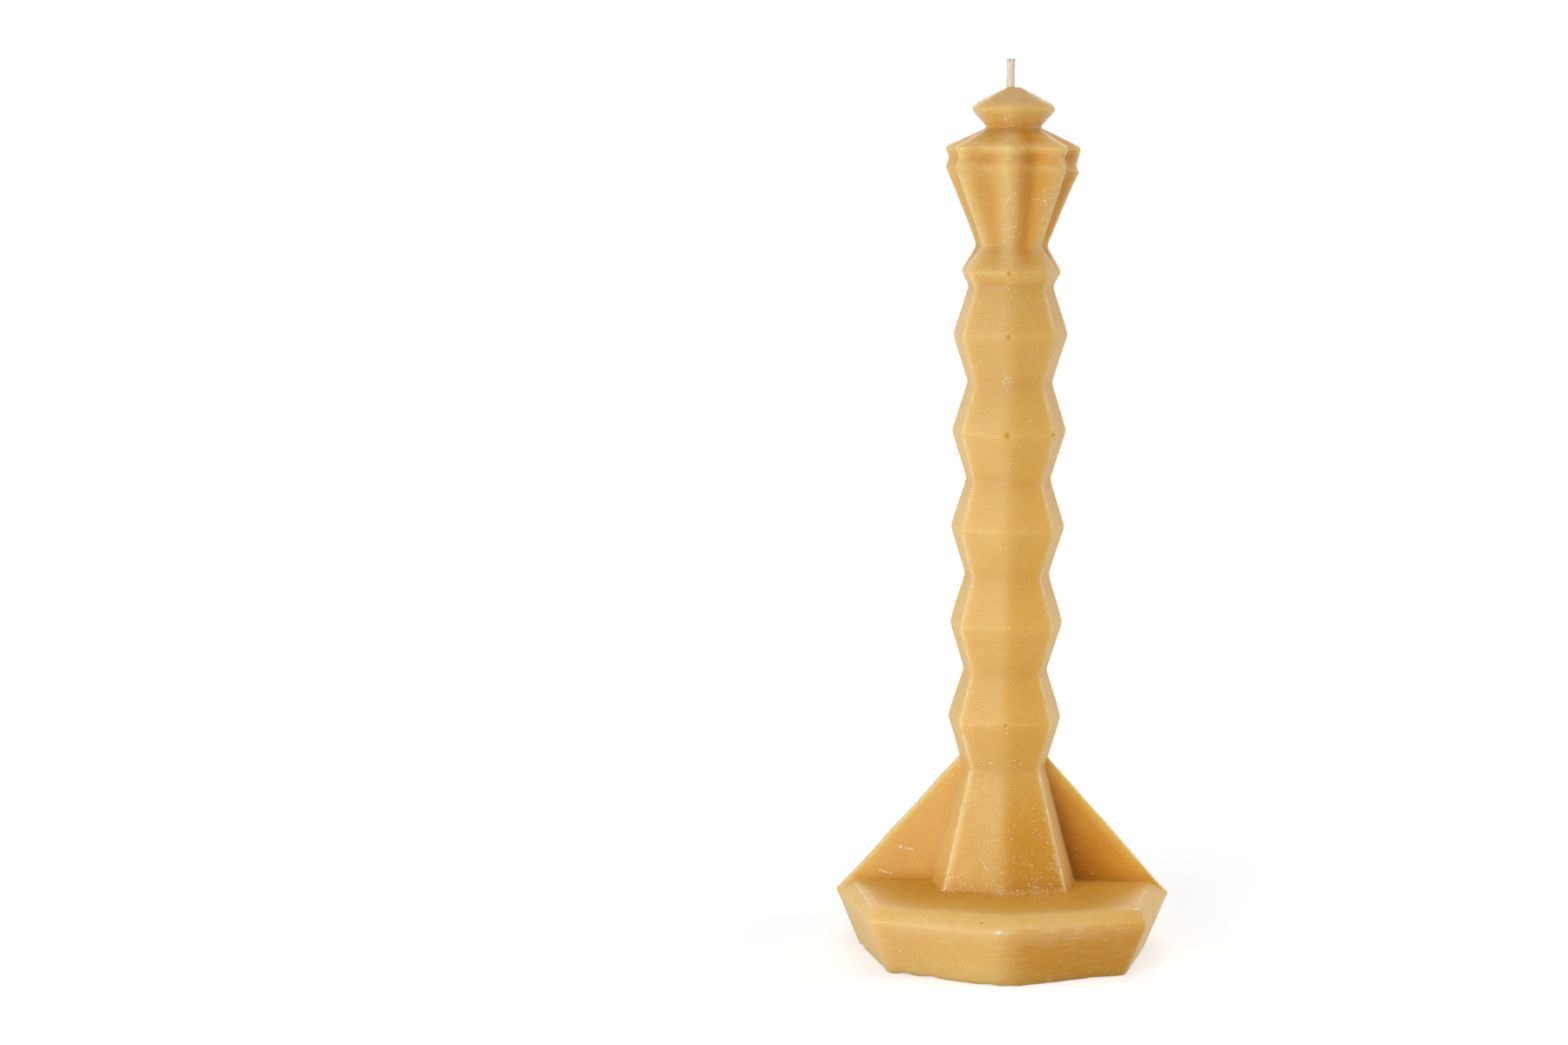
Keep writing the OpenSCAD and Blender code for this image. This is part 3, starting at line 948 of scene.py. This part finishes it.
def beeswax(dents):
    """Satin translucent wax: gold with pale blooming and painted sheen, painted shade in hollows and on faces
    turned from the light, edges with wear and painted highlights, level lines, pits and specks.

    dents lists the air dents' places in millimetres and their reaches."""
    material, tree, shader = new_material("beeswax")
    mm = object_mm(tree)
    height = add_node(tree, "ShaderNodeSeparateXYZ", {0: mm}).outputs["Z"]
    names = ("worn_and_highlit", "chafed", "painted_shade", "pitted", "bloom_and_sheen", "frost")
    worn_and_highlit, chafed, painted_shade, pitted, bloom_and_sheen, frost = (mask_of(tree, name) for name in names)

    # Lines show in patches, and most where bloom and painted sheen lie; the base has longer uneven streaks
    patches = noise_mask(tree, mm, "patches")
    showing = math_node(tree, "MULTIPLY", patches, ramp(tree, bloom_and_sheen, 0.0, 1.0, LINES_BARE, 1.0))
    lines = math_node(tree, "MULTIPLY", level_lines(tree, mm, height), showing)
    low_down = ramp(tree, height, *STREAK_H, STREAK_ABOVE, 1.0)
    streak = noise_mask(tree, scaled(tree, mm, STREAK_STRETCH), "streak")
    streaks = math_node(tree, "MULTIPLY", streak, low_down)

    # Pits, specks and marks
    hole, lip = burst_bubbles(tree, mm, pitted)
    specks = white_specks(tree, mm, frost, worn_and_highlit)
    scrapes = marks_at(tree, mm, SCRAPES, SCRAPE_CORE)
    scraped = math_node(tree, "MULTIPLY", scrapes, noise_mask(tree, mm, "scrape"))
    pinned = marks_at(tree, mm, [(place, place, radius) for place, radius in PIN_HOLES], PIN_CORE)
    dented = marks_at(tree, mm, [(place, place, reach) for place, reach in dents], DENT_CORE)

    # Colour, from the wax itself to what lies on it
    bloom_and_sheen_amount = math_node(tree, "ADD", bloom_and_sheen, noise_mask(tree, mm, "drift"), clamp=True)
    gold = tint(tree, bloom_and_sheen_amount, srgb(*GOLD), srgb(*BLOOMED_AND_LIT))
    # Darker and duller towards the top
    dulling = 0.0
    for low, high, most in TOP_DULLING:
        dulling = math_node(tree, "ADD", dulling, ramp(tree, height, low, high, 0.0, most))
    gold = coat(tree, gold, "dulling", dulling)
    gold = coat(tree, gold, "mottle", noise_mask(tree, mm, "mottle"))
    gold = coat(tree, gold, "lines", ramp(tree, lines, -1.0, 1.0))
    # Painted shade: hollows, deck, fins, flutes and faces turned from the light are coloured a deeper amber
    gold = coat(tree, gold, "painted_shade", ramp(tree, painted_shade, 0.0, SHADE_HALF))
    gold = coat(tree, gold, "deep_painted_shade", ramp(tree, painted_shade, SHADE_HALF, 1.0))
    gold = coat(tree, gold, "streaks", streaks)
    unshaded = math_node(tree, "SUBTRACT", 1.0, painted_shade, clamp=True)
    gold = coat(tree, gold, "grain", math_node(tree, "MULTIPLY", noise_mask(tree, mm, "grain"), unshaded))
    # Wear, with painted highlights along the rim and outer edges
    gold = coat(tree, gold, "wear_and_highlight", math_node(tree, "MULTIPLY", worn_and_highlit, noise_mask(tree, mm, "rub")))
    gold = coat(tree, gold, "chafed", math_node(tree, "MULTIPLY", chafed, noise_mask(tree, mm, "gaps")))
    # The air dents are painted darker, as shade in their hollows
    gold = coat(tree, gold, "dents", dented)
    gold = coat(tree, gold, "lips", lip)
    white = math_node(tree, "MAXIMUM", math_node(tree, "MULTIPLY", specks, SPECK_SHARE), scraped)
    gold = coat(tree, gold, "white", white)
    # The bubbles' holes and the pin holes are painted dark, as shade inside them
    gold = coat(tree, gold, "holes", math_node(tree, "MAXIMUM", hole, pinned))
    tree.links.new(gold, shader.inputs["Base Color"])

    tree.links.new(noise_mask(tree, mm, "rough"), shader.inputs["Roughness"])
    for socket, value in WAX_FINISH.items():
        shader.inputs[socket].default_value = value

    marks = {
        "lines": lines, "streaks": streaks, "peel": noise_value(tree, mm, "peel"), "holes": hole, "lips": lip,
        "specks": specks, "scrapes": scraped, "pins": pinned, "dents": dented,
    }
    relief = 0.0
    for name, mark in marks.items():
        relief = math_node(tree, "MULTIPLY_ADD", mark, RELIEF[name], relief)
    bump = add_node(tree, "ShaderNodeBump", {"Height": relief, "Strength": 1.0, "Distance": MM})
    tree.links.new(bump.outputs["Normal"], shader.inputs["Normal"])
    return material


def wick_surface():
    """The cord as a grid: a circle with eight soft strands that climb in a long turn, flared at the cut.

    Rows run from the underside to the cut, and the last rows draw in over the ragged end. Also returns the
    cord's middle and the height of its foot."""
    low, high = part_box("wick")
    foot, top = low[2] * PER_MM, high[2] * PER_MM
    middle = np.array([(low[0] + high[0]) / 2, (low[1] + high[1]) / 2]) * PER_MM
    radius = (high[0] - low[0]) / 2 * PER_MM
    hidden = np.linspace(foot, WAX_H - HIDDEN_END, HIDDEN_ROWS)
    bare = np.linspace(WAX_H - BARE_START, top - CUT_ROOM, BARE_ROWS)
    z = np.concatenate([hidden, bare])
    angle = np.linspace(0, 2 * np.pi, CORD_COLUMNS, endpoint=False)
    turn = 2 * np.pi * z / STRAND_TURN
    strands = np.abs(np.cos(STRANDS / 2 * (angle[None] - turn[:, None])))
    flare = FLARE * np.clip((z - (top - FLARE_LENGTH)) / FLARE_LENGTH, 0, 1)[:, None]
    pinch = PINCH * np.exp(-(((z - (top - PINCH_BELOW)) / PINCH_SPREAD) ** 2))[:, None]
    r = radius * (STRAND_FOOT + STRAND_RISE * strands + flare - pinch)
    x = middle[0] + r * np.cos(angle)
    y = middle[1] + r * np.sin(angle)
    grid = np.stack([x, y, np.broadcast_to(z[:, None], x.shape)], -1)
    fibres = wave_noise(grid.reshape(-1, 3) * (1, 1, FRAY_SQUEEZE), FRAY_LENGTH, CORD_SEED).reshape(x.shape)
    out = grid[..., :2] - middle
    grid[..., :2] = middle + out * (1 + FRAY * fibres / radius)[..., None]
    ragged = RAGGED * wave_noise(grid[-1] * (1, 1, 0), RAGGED_LENGTH, CORD_SEED + 1)
    ragged += CUT_SLANT * np.cos(angle - CUT_SLANT_AT)
    ends = []
    for share, lift in CUT_RINGS:
        end = grid[-1].copy()
        end[:, :2] = middle + (end[:, :2] - middle) * share
        end[:, 2] += lift + ragged * share
        ends.append(end)
    grid = np.concatenate([grid, np.stack(ends)])
    grid[..., 2] = np.clip(grid[..., 2], foot, top)
    return grid, middle, foot


def cotton():
    """Undyed cotton cord, primed with wax: cream, with fine fibres that run along it."""
    material, tree, shader = new_material("cotton")
    mm = object_mm(tree)
    fibre = noise_value(tree, scaled(tree, mm, FIBRE_STRETCH), "fibre")
    cream = tint(tree, ramp(tree, fibre, *FIBRE_RANGE), srgb(*COTTON_SHADE), srgb(*COTTON_CREAM))
    soil = math_node(tree, "MULTIPLY", noise_mask(tree, mm, "soil"), SOIL_SHARE)
    cream = tint(tree, soil, cream, srgb(*COTTON_SOIL))
    tree.links.new(cream, shader.inputs["Base Color"])
    shader.inputs["Roughness"].default_value = COTTON_ROUGH
    relief = math_node(tree, "MULTIPLY", fibre, FIBRE_RELIEF)
    bump = add_node(tree, "ShaderNodeBump", {"Height": relief, "Strength": 1.0, "Distance": MM})
    tree.links.new(bump.outputs["Normal"], shader.inputs["Normal"])
    return material


def wax_masks(grid, masks):
    """The masks that the wax's material reads, finished on the final surface."""
    body = masks.pop("body")
    # Bloom with painted sheen: heaviest on faces turned towards the key light's side, and on the -X fin,
    # which that light falls on
    masks["bloom_and_sheen"] = np.maximum(bloom_and_sheen_on(grid), FIN_BLOOM_AND_SHEEN * (1 - body) * (grid[..., 0] < 0))
    masks["frost"] = spots_on(grid, FROST)
    masks["worn_and_highlit"] = masks["worn_and_highlit"] * np.interp(grid[..., 0], RUBBED_X, RUBBED_SHARE)
    upright = np.interp(grid_normals(grid)[..., 2], UPRIGHT, (1, 0))
    # Painted shade low on the base and foot, on upright faces turned away from the lit side
    low_side_shading = body * upright * (1 - masks["bloom_and_sheen"]) * np.interp(grid[..., 2], LOW_SIDE_SHADE_H, LOW_SIDE_SHADE)
    masks["painted_shade"] = np.maximum(masks["painted_shade"], low_side_shading)
    return masks


def build_candle():
    """The wax and the wick."""
    grid, masks = wax_surface()
    grid, masks = add_ends(mould_faults(grid), masks)
    grid = age_surface(grid, WAX_SEED)
    dents = [(place_on(grid, angle, height).tolist(), reach) for angle, height, reach, _ in AIR_DENTS]
    mesh = closed_mesh("wax", grid, wax_masks(grid, masks), (0, 0, DISH), (0, 0, WAX_H))
    wax = new_piece("wax", mesh, "wax_body", beeswax(dents))
    soften = wax.modifiers.new("soft_edges", "SUBSURF")
    soften.levels = soften.render_levels = 1
    cord, middle, foot = wick_surface()
    cut_z = cord[-1, :, 2].mean()
    mesh = closed_mesh("wick", cord, {}, (*middle, foot), (*middle, cut_z))
    new_piece("cord", mesh, "wick", cotton())


def seen_directly(tree):
    """1 for rays from the camera, off a reflection or through glass, and 0 for light that falls on things."""
    path = add_node(tree, "ShaderNodeLightPath").outputs
    seen = math_node(tree, "MAXIMUM", path["Is Camera Ray"], path["Is Glossy Ray"])
    return math_node(tree, "MAXIMUM", seen, path["Is Transmission Ray"])


def build_floor():
    """A wide pale floor: plain to the object, and white to the camera where no shadow falls on it."""
    ends = [(-1, -1), (1, -1), (1, 1), (-1, 1)]
    mesh = bpy.data.meshes.new("floor")
    mesh.from_pydata([(x * FLOOR_HALF, y * FLOOR_HALF, -FLOOR_DROP) for x, y in ends], [], [(0, 1, 2, 3)])
    floor = bpy.data.objects.new("floor", mesh)
    bpy.context.scene.collection.objects.link(floor)
    material, tree, shader = new_material("floor_white")
    direct = seen_directly(tree)
    tree.links.new(tint(tree, direct, FLOOR_GREY, FLOOR_GREY_SEEN), shader.inputs["Base Color"])
    shader.inputs["Roughness"].default_value = 1.0
    shader.inputs["Specular IOR Level"].default_value = 0.0
    shader.inputs["Emission Color"].default_value = WHITE
    place = add_node(tree, "ShaderNodeTexCoord").outputs["Object"]
    away = vector_node(tree, "LENGTH", {0: place}, "Value")
    glow = ramp(tree, away, GLOW_FROM, GLOW_TO, GLOW_NEAR, 1.0)
    tree.links.new(math_node(tree, "MULTIPLY", direct, glow), shader.inputs["Emission Strength"])
    mesh.materials.append(material)


def build_light():
    """Five round soft lamps, the key one from the front left, and an even white surround."""
    for name, place, size, watts in LAMPS:
        data = bpy.data.lights.new(name, "AREA")
        data.shape = "DISK"
        data.size = size
        data.energy = watts
        lamp = bpy.data.objects.new(name, data)
        lamp.location = place
        aim = Vector(LAMP_AIM) - Vector(place)
        lamp.rotation_euler = aim.to_track_quat("-Z", "Y").to_euler()
        lamp.visible_camera = False
        bpy.context.scene.collection.objects.link(lamp)

    world = bpy.data.worlds.new("surround")
    bpy.context.scene.world = world
    world.use_nodes = True
    tree = world.node_tree
    back = tree.nodes["Background"]
    inputs = {0: seen_directly(tree), 2: SURROUND, 3: SURROUND_SEEN}
    strength = add_node(tree, "ShaderNodeMix", inputs, data_type="FLOAT").outputs[0]
    tree.links.new(strength, back.inputs["Strength"])
    back.inputs["Color"].default_value = WHITE


def build_camera():
    """The view: from the front, level with the crown, looking down a little, turned by a trace."""
    eye = Vector((-37.2, -687.6, 185.2)) * MM
    look = Vector((-0.0187, 0.9916, -0.1278))
    roll = math.radians(0.35)
    data = bpy.data.cameras.new("camera")
    data.lens = 70.82
    data.sensor_width = 36.0
    data.sensor_fit = "HORIZONTAL"
    camera = bpy.data.objects.new("camera", data)
    turn = look.to_track_quat("-Z", "Y").to_matrix() @ Matrix.Rotation(roll, 3, "Z")
    camera.matrix_world = Matrix.Translation(eye) @ turn.to_4x4()
    bpy.context.scene.collection.objects.link(camera)
    bpy.context.scene.camera = camera


build_camera()
build_candle()
build_floor()
build_light()
bpy.context.scene.view_settings.view_transform = "Standard"
